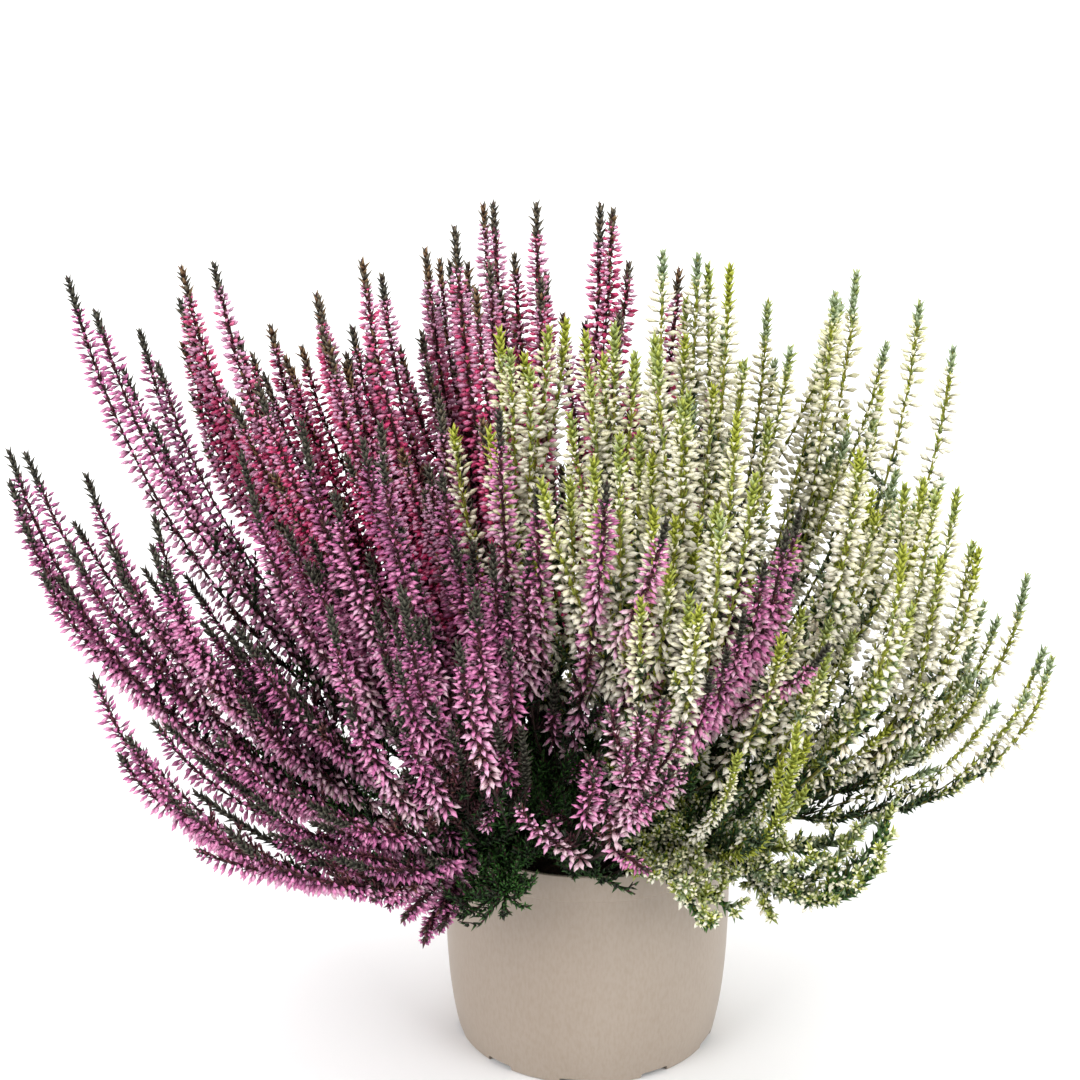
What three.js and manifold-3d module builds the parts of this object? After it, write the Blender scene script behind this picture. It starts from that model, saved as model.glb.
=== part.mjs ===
// Potted heather: three rooted heathers (mauve, crimson, white) in one plastic pot.
// Millimetres, +Z up. The origin is the centre of the pot's underside.
// Every flowering branch is a closed solid: thin woody stems that swell where the buds sit.
import * as THREE from 'three';
import { mergeVertices } from 'three/addons/utils/BufferGeometryUtils.js';
import Module from 'manifold-3d';

// Pot
const potHeight = 101;
const potRimRadius = 61.8;
const potBaseRadius = 56;
const potBelly = 4;
const potWall = 1.6;
const potFloor = 1.8;
const collarHeight = 12;
const collarStep = 0.5;
const wallHeights = [8, 18, 32, 50];
const potSides = 48;
const slotCount = 10;
const slotTurn = -24;
const slotWidth = 13;
const slotHeight = 2.6;
const slotDepth = 14;

// Compost and the crowns rooted in it
const compostDrop = 10;
const compostSides = 32;
const touchGap = 0.3;
const crownRadius = 4;
const crownRootDepth = 12;
const crownStemRadius = 1.1;
const crownStemReach = [5, 17];
const crownStemHeight = [17, 9];
const crownStemRoom = 5.8;
const crownStemPasses = 60;
const crownSides = 10;
const crownSites = {
  mauve: [-21, -13],
  crimson: [-8, 21],
  white: [22, -1],
};

// Shoots
const shootSides = 5;
const mainSteps = 7;
const sideSteps = 5;
const kneeLength = 4;
const frontSpread = 0.68;
const sideSpread = { mauve: [0.42, 0.86], crimson: [0.42, 0.86], white: [0.6, 0.96] };
const stemRadius = 0.9;
const sideStemRadius = 0.65;
const flowerRadius = 2.5;
const leafyRadius = 1.9;
const tipRadius = 1.1;
const shootGap = 0.8;
const sideReach = [15, 27];
const sideLength = [0.68, 0.97];
const outerReach = 125;
const relaxPasses = 90;
const seed = 7;

// Where the main stem of each branch ends: x, y, z, how far its start sags, its side shoots, and for
// some the angle by which it sets off to one side.
const branchTips = {
  mauve: [
    [-229, -30, 273, 34, 3], [-204, -8, 256, 16, 2], [-190, -90, 203, 44, 3, 30], [-209, 10, 332, 12, 2],
    [-186, 35, 304, 8, 2], [-172, -48, 240, 20, 3], [-140, -112, 150, 2, 3, 26], [-139, -22, 270, 6, 3],
    [-112, -46, 290, 6, 3], [-80, -68, 284, 2, 3], [-98, -106, 238, 26, 3, 14], [-70, -112, 246, 20, 3, 8],
    [-44, -106, 244, 14, 2], [-36, -58, 299, 0, 2], [3, -76, 265, 0, 2], [78, -72, 264, 4, 1],
    [17, -112, 196, 18, 3], [-160, 90, 262, 10, 3], [-100, 138, 262, 10, 4],
  ],
  crimson: [
    [-168, 40, 329, 6, 2], [-152, 20, 336, 4, 2], [-112, 32, 320, 2, 3], [-92, 18, 338, 0, 2],
    [-68, 52, 334, 0, 2], [-55, 28, 349, 0, 2], [-22, 34, 357, 0, 2], [4, 30, 358, 0, 1],
    [37, 42, 328, 0, 2], [-60, -24, 292, 0, 3], [-60, 104, 316, 2, 4], [-40, 66, 350, 0, 4],
  ],
  white: [
    [-36, -26, 322, 0, 3], [8, -36, 326, 0, 3], [29, 20, 341, 0, 2], [56, 18, 336, 0, 2],
    [75, 52, 312, 0, 3], [111, 48, 326, 2, 2], [137, 42, 315, 4, 1], [147, 14, 303, 6, 2],
    [145, -26, 255, 8, 2], [150, -52, 240, 12, 2], [178, -14, 215, 18, 2], [184, -42, 190, 16, 1],
    [9, -82, 296, 0, 3], [35, -64, 307, 0, 3], [46, -96, 270, 4, 3], [100, -64, 284, 4, 3],
    [116, -82, 252, 10, 3], [76, -106, 190, 20, 2], [58, 134, 286, 8, 4], [132, 106, 258, 12, 4],
  ],
};

// Low shoots with leaves and no flowers, in the same form.
const leafyTips = {
  mauve: [[-38, -94, 110, 6, 2]],
  crimson: [],
  white: [[38, -98, 116, 10, 3], [104, -78, 104, 24, 3], [112, -108, 150, 30, 2]],
};

const up = new THREE.Vector3(0, 0, 1);

// A repeatable stream of numbers from 0 to 1.
function numberStream(start) {
  let state = start;
  return () => {
    state = (state + 0x6d2b79f5) | 0;
    let mixed = Math.imul(state ^ (state >>> 15), 1 | state);
    mixed = (mixed + Math.imul(mixed ^ (mixed >>> 7), 61 | mixed)) ^ mixed;
    return ((mixed ^ (mixed >>> 14)) >>> 0) / 4294967296;
  };
}
const random = numberStream(seed);
const between = ([low, high]) => low + (high - low) * random();

// manifold-3d joins and cuts closed meshes.
const wasm = await Module();
wasm.setup();

function toSolid(geometry) {
  const bare = geometry.clone();
  bare.deleteAttribute('normal');
  bare.deleteAttribute('uv');
  const merged = mergeVertices(bare, 1e-3);
  const corners = merged.index.array;
  const faces = [];
  for (let i = 0; i < corners.length; i += 3) {
    const [a, b, c] = [corners[i], corners[i + 1], corners[i + 2]];
    if (a !== b && b !== c && c !== a) {
      faces.push(a, b, c);
    }
  }
  const vertProperties = new Float32Array(merged.attributes.position.array);
  const triVerts = new Uint32Array(faces);
  return new wasm.Manifold(new wasm.Mesh({ numProp: 3, vertProperties, triVerts }));
}

function toGeometry(solid) {
  const mesh = solid.getMesh();
  const geometry = new THREE.BufferGeometry();
  geometry.setAttribute('position', new THREE.BufferAttribute(new Float32Array(mesh.vertProperties), 3));
  geometry.setIndex(new THREE.BufferAttribute(new Uint32Array(mesh.triVerts), 1));
  geometry.computeVertexNormals();
  return geometry;
}

// A lathe turned about Z: each point of the profile is [radius, z], from axis to axis.
function turned(profile, sides) {
  const geometry = new THREE.LatheGeometry(profile.map(([radius, z]) => new THREE.Vector2(radius, z)), sides);
  return geometry.rotateX(Math.PI / 2);
}

// Shapes of the pot and the compost
// The wall draws in ever faster towards the base.
function potRadiusAt(z) {
  const bodyTop = potHeight - collarHeight;
  const bodyRadius = potRimRadius - collarStep;
  return bodyRadius - (bodyRadius - potBaseRadius) * (1 - z / bodyTop) ** potBelly;
}

function potGeometry() {
  const bodyTop = potHeight - collarHeight;
  const lip = 0.6;
  const foot = 1.2;
  const outside = [
    [0, 0], [potBaseRadius - foot, 0], [potBaseRadius - 0.3, 0.4],
    ...[foot, ...wallHeights, bodyTop].map((z) => [potRadiusAt(z), z]),
    [potRimRadius - 0.15, bodyTop + 0.8], [potRimRadius, potHeight - lip], [potRimRadius - lip, potHeight],
  ];
  const inside = [
    [potRimRadius - potWall + lip / 2, potHeight], [potRimRadius - potWall, potHeight - lip],
    ...[bodyTop - 1, ...wallHeights.toReversed(), potFloor].map((z) => [potRadiusAt(z) - potWall, z]),
    [0, potFloor],
  ];
  let pot = toSolid(turned([...outside, ...inside], potSides));
  for (let i = 0; i < slotCount; i++) {
    const slot = new THREE.BoxGeometry(slotDepth, slotWidth, slotHeight + 2);
    slot.translate(potBaseRadius - 1, 0, slotHeight / 2 - 1);
    slot.rotateZ(THREE.MathUtils.degToRad(slotTurn + (360 * i) / slotCount));
    pot = pot.subtract(toSolid(slot));
  }
  return toGeometry(pot);
}

function compostGeometry() {
  const top = potHeight - compostDrop;
  const room = potWall + touchGap;
  const floor = potFloor + touchGap;
  const profile = [
    [0, floor], ...[floor, ...wallHeights, top - 3].map((z) => [potRadiusAt(z) - room, z]),
    [potRadiusAt(top) - room - 4, top - 1], [0, top],
  ];
  let compost = toSolid(turned(profile, compostSides));
  for (const [x, y] of Object.values(crownSites)) {
    const depth = crownRootDepth + touchGap;
    const length = depth + crownRadius;
    const radius = crownRadius + touchGap;
    const hole = new THREE.CylinderGeometry(radius, radius, length, crownSides);
    hole.rotateX(Math.PI / 2);
    hole.translate(x, y, top - depth + length / 2);
    compost = compost.subtract(toSolid(hole));
  }
  return toGeometry(compost);
}

// A line of growth: its points, the solid's radius at each, and how freely each point may move.
function growth(branch, points, radii) {
  return { branch, points, radii, home: points.map((point) => point.clone()), free: points.map(() => 1) };
}

// A main stem carries straight on from its crown stem up to a knee. From there its first stretch leans out
// (and sags on wide branches), and its last one turns up to the light. Towards the front and the back all
// branches spread out low down; to the left and right the white plant does so more than the others.
function mainGrowth(branch, start, knee, tip, sag, flowers) {
  const away = new THREE.Vector3(tip.x - knee.x, tip.y - knee.y, 0);
  const rise = tip.z - knee.z;
  const wide = Math.min(1, (1.4 * away.length()) / (away.length() + Math.abs(rise)));
  const [lowOut, highOut] = sideSpread[branch.plant];
  const first = new THREE.Vector3(away.x * lowOut, away.y * frontSpread, 0);
  first.applyAxisAngle(up, THREE.MathUtils.degToRad(branch.swing)).add(knee);
  first.z += rise * THREE.MathUtils.lerp(0.34, 0.08, wide) - sag;
  const second = knee.clone();
  second.x += away.x * highOut;
  second.y += away.y;
  second.z += rise * THREE.MathUtils.lerp(0.66, 0.36, wide) - sag * 0.5;
  const course = new THREE.CubicBezierCurve3(knee, first, second, tip);
  const points = [start, ...course.getSpacedPoints(mainSteps)];
  const radii = [1, 1, 1, 0.7, 1, 1, 1, 0.8, 0].map((share, i) => (i < 3 ? stemRadius : share * flowers));
  return growth(branch, points, radii);
}

// A side shoot leaves the main stem low down, and then keeps beside it.
function sideGrowth(main, turn, reach, length, flowers) {
  const joint = 2;
  const course = new THREE.CatmullRomCurve3(main.points.slice(1));
  const from = main.points[joint];
  const heading = course.getTangent((joint - 1) / mainSteps);
  const beside = course.getPoint(length);
  const along = course.getTangent(length);
  const level = new THREE.Vector3().crossVectors(along, up).normalize();
  const above = new THREE.Vector3().crossVectors(level, along).normalize();
  const aside = level.multiplyScalar(Math.cos(turn)).addScaledVector(above, Math.sin(turn));
  const tip = beside.clone().addScaledVector(aside, reach).addScaledVector(up, 4);
  const span = from.distanceTo(tip);
  const first = from.clone().addScaledVector(heading, span * 0.2).addScaledVector(aside, reach * 0.75);
  const second = tip.clone().addScaledVector(along, -span * 0.3).addScaledVector(up, -span * 0.06);
  const points = new THREE.CubicBezierCurve3(from.clone(), first, second, tip).getSpacedPoints(sideSteps);
  const radii = [sideStemRadius, flowers * 0.5, flowers * 0.85, flowers * 0.85, flowers * 0.7, 0];
  return { ...growth(main.branch, points, radii), main, joint };
}

// Neighbouring branches lean apart until their solids are clear of each other and of the pot.
const lineA = new THREE.Line3();
const lineB = new THREE.Line3();
const onA = new THREE.Vector3();
const onB = new THREE.Vector3();
const push = new THREE.Vector3();

function radiusAlong(line, i, share) {
  return Math.max(tipRadius, THREE.MathUtils.lerp(line.radii[i - 1], line.radii[i], share));
}

function shift(line, i, share, by) {
  line.points[i - 1].addScaledVector(by, (1 - share) * line.free[i - 1]);
  line.points[i].addScaledVector(by, share * line.free[i]);
}

function leanApart(one, other) {
  for (let i = 1; i < one.points.length; i++) {
    for (let j = 1; j < other.points.length; j++) {
      lineA.set(one.points[i - 1], one.points[i]);
      lineB.set(other.points[j - 1], other.points[j]);
      const distance = Math.sqrt(lineA.distanceSqToLine3(lineB, onA, onB));
      const shareA = lineA.closestPointToPointParameter(onA, true);
      const shareB = lineB.closestPointToPointParameter(onB, true);
      const room = radiusAlong(one, i, shareA) + radiusAlong(other, j, shareB) + shootGap;
      if (distance < room) {
        push.subVectors(onA, onB);
        if (distance < 1e-6) {
          push.set(0, 0, 1);
        }
        push.setLength((room - distance) * 0.6);
        shift(one, i, shareA, push);
        shift(other, j, shareB, push.negate());
      }
    }
  }
}

// Shoots that cross the rim pass above it, and those that hang outside stay off the wall.
function keepOffPot(line) {
  for (let i = 1; i < line.points.length; i++) {
    for (const share of [0.25, 0.5, 0.75, 1]) {
      const point = line.points[i - 1].clone().lerp(line.points[i], share);
      const room = radiusAlong(line, i, share) + 1.5;
      const out = Math.hypot(point.x, point.y);
      const above = potHeight + room - point.z;
      const beyond = potRimRadius + room - out;
      if (above > 0 && beyond > 0) {
        push.copy(up).multiplyScalar(above);
        if (beyond < above) {
          push.set(point.x, point.y, 0).setLength(beyond);
        }
        shift(line, i, share, push);
      }
    }
  }
}

function easeBends(line) {
  const moves = line.points.map((point, i) => point.clone().sub(line.home[i]));
  for (let i = 1; i < moves.length - 1; i++) {
    const eased = moves[i - 1].clone().add(moves[i + 1]).multiplyScalar(0.5).lerp(moves[i], 0.6);
    line.points[i].copy(line.home[i]).addScaledVector(eased, line.free[i]);
  }
}

function boxOf(line) {
  return new THREE.Box3().setFromPoints(line.points).expandByScalar(flowerRadius + shootGap);
}

function spread(lines) {
  for (let pass = 0; pass < relaxPasses; pass++) {
    const boxes = lines.map(boxOf);
    for (let i = 0; i < lines.length; i++) {
      for (let j = i + 1; j < lines.length; j++) {
        if (lines[i].branch !== lines[j].branch && boxes[i].intersectsBox(boxes[j])) {
          leanApart(lines[i], lines[j]);
        }
      }
    }
    for (const line of lines) {
      if (pass < relaxPasses / 2) {
        easeBends(line);
      }
      keepOffPot(line);
      if (line.main) {
        line.points[0].copy(line.main.points[line.joint]);
      }
    }
  }
}

// A straight spindle from a lathe, bent along the points of a line of growth.
function spindleGeometry(points, radii, sides) {
  const profile = [[0, 0], ...radii.map((radius, i) => [radius, i])];
  if (radii.at(-1) > 0) {
    profile.push([0, radii.length - 1]);
  }
  const geometry = turned(profile, sides);
  const position = geometry.attributes.position;
  const tangents = points.map((point, i) => {
    const before = points[Math.max(0, i - 1)];
    const after = points[Math.min(points.length - 1, i + 1)];
    return after.clone().sub(before).normalize();
  });
  const turns = [new THREE.Quaternion().setFromUnitVectors(up, tangents[0])];
  for (let i = 1; i < points.length; i++) {
    const bend = new THREE.Quaternion().setFromUnitVectors(tangents[i - 1], tangents[i]);
    turns.push(bend.multiply(turns[i - 1]));
  }
  for (let i = 0; i < position.count; i++) {
    const ring = Math.round(position.getZ(i));
    const corner = new THREE.Vector3(position.getX(i), position.getY(i), 0);
    corner.applyQuaternion(turns[ring]).add(points[ring]);
    position.setXYZ(i, corner.x, corner.y, corner.z);
  }
  return geometry;
}

// Materials
function matt(color, roughness) {
  return new THREE.MeshStandardMaterial({ color, roughness, metalness: 0 });
}
const materials = {
  pot: matt(0xb7aa9e, 0.5),
  compost: matt(0x2c2018, 0.95),
  crown: matt(0x4a3527, 0.85),
  mauve: matt(0xb4599a, 0.7),
  crimson: matt(0xa01f4c, 0.7),
  white: matt(0xe8e6cf, 0.7),
  leafy: matt(0x4c6a2c, 0.7),
};

const heather = new THREE.Group();

function addPiece(name, geometry, material) {
  const mesh = new THREE.Mesh(geometry, material);
  mesh.name = name;
  heather.add(mesh);
}

addPiece('pot', potGeometry(), materials.pot);
addPiece('compost', compostGeometry(), materials.compost);

// Each branch starts just off the end of a crown stem, which points the way the branch grows.
const lines = [];
const crowns = {};
for (const [plant, [x, y]] of Object.entries(crownSites)) {
  const compostTop = potHeight - compostDrop;
  const heart = new THREE.Vector3(x, y, compostTop + 2);
  const stems = [...branchTips[plant], ...leafyTips[plant]].map((row, i) => {
    const [tipX, tipY, tipZ, sag, sides, swing = 0] = row;
    const away = new THREE.Vector3(tipX - x, tipY - y, 0);
    const wide = Math.min(1, away.length() / 160);
    const ring = THREE.MathUtils.lerp(...crownStemReach, wide);
    const end = heart.clone().addScaledVector(away.normalize(), ring);
    end.z += THREE.MathUtils.lerp(...crownStemHeight, wide) + (i % 3);
    const tip = new THREE.Vector3(tipX, tipY, tipZ);
    return { plant, end, tip, sag, sides, swing, leafy: i >= branchTips[plant].length };
  });
  crowns[plant] = { heart, stems };
}

// The ends of all the crown stems keep a few millimetres apart.
const ends = Object.values(crowns).flatMap((crown) => crown.stems.map((stem) => stem.end));
for (let pass = 0; pass < crownStemPasses; pass++) {
  for (let i = 0; i < ends.length; i++) {
    for (let j = i + 1; j < ends.length; j++) {
      push.subVectors(ends[i], ends[j]);
      const short = crownStemRoom - push.length();
      if (short > 0) {
        push.setLength(short / 2);
        push.z = 0;
        ends[i].add(push);
        ends[j].sub(push);
      }
    }
  }
}

for (const [plant, { heart, stems }] of Object.entries(crowns)) {
  for (const stem of stems) {
    const radius = stem.leafy ? leafyRadius : flowerRadius;
    const crownLine = growth(`${plant}_crown`, [heart.clone(), stem.end], [crownStemRadius, crownStemRadius]);
    crownLine.free = [0, 0];
    stem.line = crownLine;
    lines.push(crownLine);
    const lead = stem.end.clone().sub(heart).normalize();
    const start = stem.end.clone().addScaledVector(lead, touchGap);
    const knee = start.clone().addScaledVector(lead, kneeLength);
    const main = mainGrowth(stem, start, knee, stem.tip, stem.sag, radius);
    main.free.fill(0, 0, 2);
    lines.push(main);
    stem.growths = [main];
    const outer = Math.hypot(stem.tip.x, stem.tip.y) > outerReach;
    const fan = outer ? Math.PI : Math.PI * 2;
    const firstTurn = outer ? 0 : random() * fan;
    for (let k = 0; k < stem.sides; k++) {
      const turn = firstTurn + (fan * (k + random() * 0.8)) / stem.sides;
      const side = sideGrowth(main, turn, between(sideReach), between(sideLength), radius);
      side.free[0] = 0;
      lines.push(side);
      stem.growths.push(side);
    }
  }
}
spread(lines);

for (const [plant, { heart, stems }] of Object.entries(crowns)) {
  const rootDepth = heart.z - potHeight + compostDrop + crownRootDepth;
  const root = new THREE.CylinderGeometry(crownRadius * 0.8, crownRadius, rootDepth, crownSides);
  root.rotateX(Math.PI / 2);
  root.translate(heart.x, heart.y, heart.z - rootDepth / 2);
  let crown = toSolid(root);
  for (const { line } of stems) {
    const sunk = heart.clone().addScaledVector(up, -1);
    const stemSolid = toSolid(spindleGeometry([sunk, line.points[1]], line.radii, shootSides));
    crown = crown.add(stemSolid);
  }
  addPiece(`${plant}_crown`, toGeometry(crown), materials.crown);
  stems.forEach(({ growths, leafy }, i) => {
    const solids = growths.map(({ points, radii }) => toSolid(spindleGeometry(points, radii, shootSides)));
    const branch = solids.reduce((whole, solid) => whole.add(solid));
    const place = leafy ? i - branchTips[plant].length : i;
    const name = `${plant}_${leafy ? 'shoot' : 'branch'}_${String(place + 1).padStart(2, '0')}`;
    addPiece(name, toGeometry(branch), leafy ? materials.leafy : materials[plant]);
  });
}

export default heather;
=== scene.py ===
import math
import random

import bmesh
import bpy
from mathutils import Matrix, Vector, noise
from mathutils.kdtree import KDTree


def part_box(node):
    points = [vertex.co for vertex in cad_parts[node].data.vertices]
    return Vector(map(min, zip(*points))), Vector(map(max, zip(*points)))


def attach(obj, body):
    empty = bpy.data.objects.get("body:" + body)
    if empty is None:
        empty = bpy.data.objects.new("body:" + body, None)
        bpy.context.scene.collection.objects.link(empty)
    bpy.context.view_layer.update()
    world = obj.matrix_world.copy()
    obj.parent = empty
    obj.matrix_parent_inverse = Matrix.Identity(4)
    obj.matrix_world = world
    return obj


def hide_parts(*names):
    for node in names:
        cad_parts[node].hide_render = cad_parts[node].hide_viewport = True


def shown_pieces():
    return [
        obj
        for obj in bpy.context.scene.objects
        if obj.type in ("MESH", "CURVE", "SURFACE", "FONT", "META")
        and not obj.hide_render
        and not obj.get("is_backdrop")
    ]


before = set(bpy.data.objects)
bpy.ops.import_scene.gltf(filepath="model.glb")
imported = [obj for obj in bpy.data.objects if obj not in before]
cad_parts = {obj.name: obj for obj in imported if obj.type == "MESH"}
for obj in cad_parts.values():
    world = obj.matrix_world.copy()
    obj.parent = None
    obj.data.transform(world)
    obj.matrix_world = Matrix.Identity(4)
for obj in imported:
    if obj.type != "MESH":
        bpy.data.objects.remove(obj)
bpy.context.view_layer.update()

# A potted heather trio: mauve on the left, crimson behind it, white on the right.
# Metres, +Z up, the origin under the middle of the pot.
mm = 0.001
scene = bpy.context.scene
fullTurn = 2 * math.pi
weldGap = 0.01 * mm
bakeMap = "OFBake"


def hexColour(code):
    channels = [int(code[i:i + 2], 16) / 255 for i in (1, 3, 5)]
    return [c / 12.92 if c <= 0.04045 else ((c + 0.055) / 1.055) ** 2.4 for c in channels] + [1]


def between(rng, span):
    return rng.uniform(*span)


def mixed(a, b, share):
    return a + (b - a) * min(1, max(0, share))


def addNode(tree, kind, **settings):
    made = tree.nodes.new("ShaderNode" + kind)
    for name, value in settings.items():
        setattr(made, name, value)
    return made


def addRamp(tree, source, stops):
    ramp = addNode(tree, "ValToRGB")
    marks = ramp.color_ramp.elements
    for mark, (place, colour) in zip(marks, (stops[0], stops[-1])):
        mark.position = place
        mark.color = hexColour(colour)
    for place, colour in stops[1:-1]:
        marks.new(place).color = hexColour(colour)
    tree.links.new(source, ramp.inputs["Fac"])
    return ramp.outputs["Color"]


def addMix(tree, kind, share, a, b):
    mix = addNode(tree, "Mix", data_type="RGBA", blend_type=kind, clamp_result=True)
    for socket, value in zip((mix.inputs[0], mix.inputs[6], mix.inputs[7]), (share, a, b)):
        if isinstance(value, bpy.types.NodeSocket):
            tree.links.new(value, socket)
        else:
            socket.default_value = value
    return mix.outputs[2]


# Darkens a colour where the noise is low.
def addShades(tree, colour, source, dark, stops):
    shades = addRamp(tree, source, [(stops[0], dark), (stops[1], "#ffffff")])
    return addMix(tree, "MULTIPLY", 1.0, colour, shades)


def addNoise(tree, vector, scale, stretch=(1, 1, 1), detail=2):
    mapping = addNode(tree, "Mapping")
    mapping.inputs["Scale"].default_value = stretch
    grain = addNode(tree, "TexNoise")
    grain.inputs["Scale"].default_value = scale
    grain.inputs["Detail"].default_value = detail
    tree.links.new(vector, mapping.inputs["Vector"])
    tree.links.new(mapping.outputs["Vector"], grain.inputs["Vector"])
    return grain.outputs["Fac"]


def addRange(tree, source, low, high):
    span = addNode(tree, "MapRange")
    span.inputs["To Min"].default_value = low
    span.inputs["To Max"].default_value = high
    tree.links.new(source, span.inputs["Value"])
    return span.outputs["Result"]


def addBump(tree, source, strength, distance):
    bump = addNode(tree, "Bump")
    bump.inputs["Strength"].default_value = strength
    bump.inputs["Distance"].default_value = distance
    tree.links.new(source, bump.inputs["Height"])
    return bump.outputs["Normal"]


def startMaterial(name):
    material = bpy.data.materials.new(name)
    material.use_nodes = True
    tree = material.node_tree
    return material, tree, tree.nodes["Principled BSDF"]


# Plants are coloured on one small map: U runs from the root of a bud, leaf or stem to its end,
# and V is its age, from the youngest at 0 to the oldest at 1. The darkest leaf rows are partly painted
# shade.
veinRules = {"stops": (0.25, 0.7), "depth": 0.2 * mm}


def growthMaterial(name, look):
    material, tree, shader = startMaterial(name)
    place = addNode(tree, "UVMap", uv_map=bakeMap)
    axes = addNode(tree, "SeparateXYZ")
    tree.links.new(place.outputs["UV"], axes.inputs["Vector"])
    along, age = axes.outputs["X"], axes.outputs["Y"]
    # On buds the darker root colour is partly painted shade and the paler end colour partly painted
    # highlight.
    root = addRamp(tree, age, look["root"])
    end = addRamp(tree, age, look["end"])
    turnAt = addRamp(tree, along, [(look["turn"][0], "#000000"), (look["turn"][1], "#ffffff")])
    colour = addMix(tree, "MIX", turnAt, root, end)
    veins = addNoise(tree, place.outputs["UV"], 1, look["veins"])
    colour = addShades(tree, colour, veins, look["veinDark"], veinRules["stops"])
    tree.links.new(colour, shader.inputs["Base Color"])
    tree.links.new(addRange(tree, veins, *look["rough"]), shader.inputs["Roughness"])
    tree.links.new(addBump(tree, veins, look["bump"], veinRules["depth"]), shader.inputs["Normal"])
    shader.inputs["Specular IOR Level"].default_value = look["gloss"]
    return material


# Pot, compost and crowns: two sizes of grain over the object itself.
grainRules = {"stops": (0.3, 0.6), "detail": 4}


def grainMaterial(name, look):
    material, tree, shader = startMaterial(name)
    coordinates = addNode(tree, "TexCoord").outputs["Object"]
    clouds = addNoise(tree, coordinates, look["clouds"], look["stretch"])
    grain = addNoise(tree, coordinates, look["grain"], look["stretch"], grainRules["detail"])
    colour = addRamp(tree, clouds, look["colours"])
    colour = addShades(tree, colour, grain, look["grainDark"], grainRules["stops"])
    tree.links.new(colour, shader.inputs["Base Color"])
    tree.links.new(addRange(tree, grain, *look["rough"]), shader.inputs["Roughness"])
    tree.links.new(addBump(tree, grain, look["bump"], look["depth"]), shader.inputs["Normal"])
    shader.inputs["Specular IOR Level"].default_value = look["gloss"]
    return material


def finishPiece(name, bm, material, nodes=()):
    mesh = bpy.data.meshes.new(name)
    bm.to_mesh(mesh)
    bm.free()
    mesh.shade_smooth()
    mesh.materials.append(material)
    piece = bpy.data.objects.new(name, mesh)
    scene.collection.objects.link(piece)
    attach(piece, "root")
    if nodes:
        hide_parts(*nodes)
    return piece


# Bud colours: the root ramps are partly the buds' own base colour and partly painted shade where the bases
# sit deep in the spike; the end ramps are partly their own colour and partly painted highlight on the tips.
mauveBudLook = {
    "root": [(0.0, "#3c1e2e"), (0.25, "#4e1036"), (0.5, "#600c3e"), (0.8, "#82285a"), (1.0, "#a8706c")],
    "end": [(0.0, "#9a6686"), (0.25, "#da76b2"), (0.5, "#fca6d4"), (0.8, "#ffd0ea"), (1.0, "#fff2e6")],
    "turn": (0.15, 0.7), "veins": (5, 160, 1), "veinDark": "#ccbcc6",
    "rough": (0.4, 0.65), "bump": 0.35, "gloss": 0.45,
}
crimsonBudLook = {
    "root": [(0.0, "#a06080"), (0.25, "#b04682"), (0.5, "#a20744"), (0.75, "#a41a52"), (1.0, "#b8527a")],
    "end": [(0.0, "#dab0ca"), (0.25, "#fcbcde"), (0.5, "#e62a72"), (0.75, "#f88cbc"), (1.0, "#fff0f4")],
    "turn": (0.1, 0.65), "veins": (5, 160, 1), "veinDark": "#ccb8c4",
    "rough": (0.4, 0.65), "bump": 0.35, "gloss": 0.45,
}
whiteBudLook = {
    "root": [(0.0, "#66763a"), (0.25, "#7a803e"), (0.5, "#6a6a34"), (0.8, "#62562f"), (1.0, "#5e4c30")],
    "end": [(0.0, "#bcc486"), (0.25, "#faf7d6"), (0.5, "#fffdf0"), (0.8, "#fffbee"), (1.0, "#f8e8d2")],
    "turn": (0.06, 0.46), "veins": (5, 160, 1), "veinDark": "#ece8d8",
    "rough": (0.42, 0.66), "bump": 0.3, "gloss": 0.4,
}
# Leaves: the dark reddish row at 0.45 and the near-black green row at 0.65, used by stem leaves and sprigs
# inside the plant, are partly the leaves' own colour and partly painted shade between the spikes.
darkLeafLook = {
    "root": [(0.0, "#22241a"), (0.15, "#403e38"), (0.3, "#54371f"), (0.45, "#4a1024"), (0.65, "#0e1a0a"),
             (1.0, "#1e4414")],
    "end": [(0.0, "#403e2c"), (0.15, "#726e60"), (0.3, "#967850"), (0.45, "#78344c"), (0.65, "#1a3012"),
            (1.0, "#4a8a2e")],
    "turn": (0.1, 0.8), "veins": (4, 120, 1), "veinDark": "#a4a89c",
    "rough": (0.45, 0.7), "bump": 0.3, "gloss": 0.35,
}
# The near-black green row at 0.65, used by sprigs inside the white plant, is partly the leaves' own colour
# and partly painted shade between the spikes.
limeLeafLook = {
    "root": [(0.0, "#8e941e"), (0.25, "#848f38"), (0.45, "#8a9c78"), (0.65, "#15280e"), (1.0, "#264a16")],
    "end": [(0.0, "#cccf4c"), (0.25, "#bac466"), (0.45, "#bccab0"), (0.65, "#284a1c"), (1.0, "#5a8a34")],
    "turn": (0.1, 0.8), "veins": (4, 120, 1), "veinDark": "#bdc59c",
    "rough": (0.45, 0.7), "bump": 0.3, "gloss": 0.35,
}
mauveStemLook = {
    "root": [(0.0, "#38261f"), (1.0, "#281b17")],
    "end": [(0.0, "#562a34"), (1.0, "#3c2228")],
    "turn": (0.3, 0.9), "veins": (40, 6, 1), "veinDark": "#8a7a6c",
    "rough": (0.55, 0.85), "bump": 0.6, "gloss": 0.3,
}
whiteStemLook = {
    "root": [(0.0, "#4f4226"), (1.0, "#3c311d")],
    "end": [(0.0, "#a8a244"), (1.0, "#8c8d38")],
    "turn": (0.15, 0.6), "veins": (40, 6, 1), "veinDark": "#9c9474",
    "rough": (0.55, 0.85), "bump": 0.6, "gloss": 0.3,
}
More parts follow.
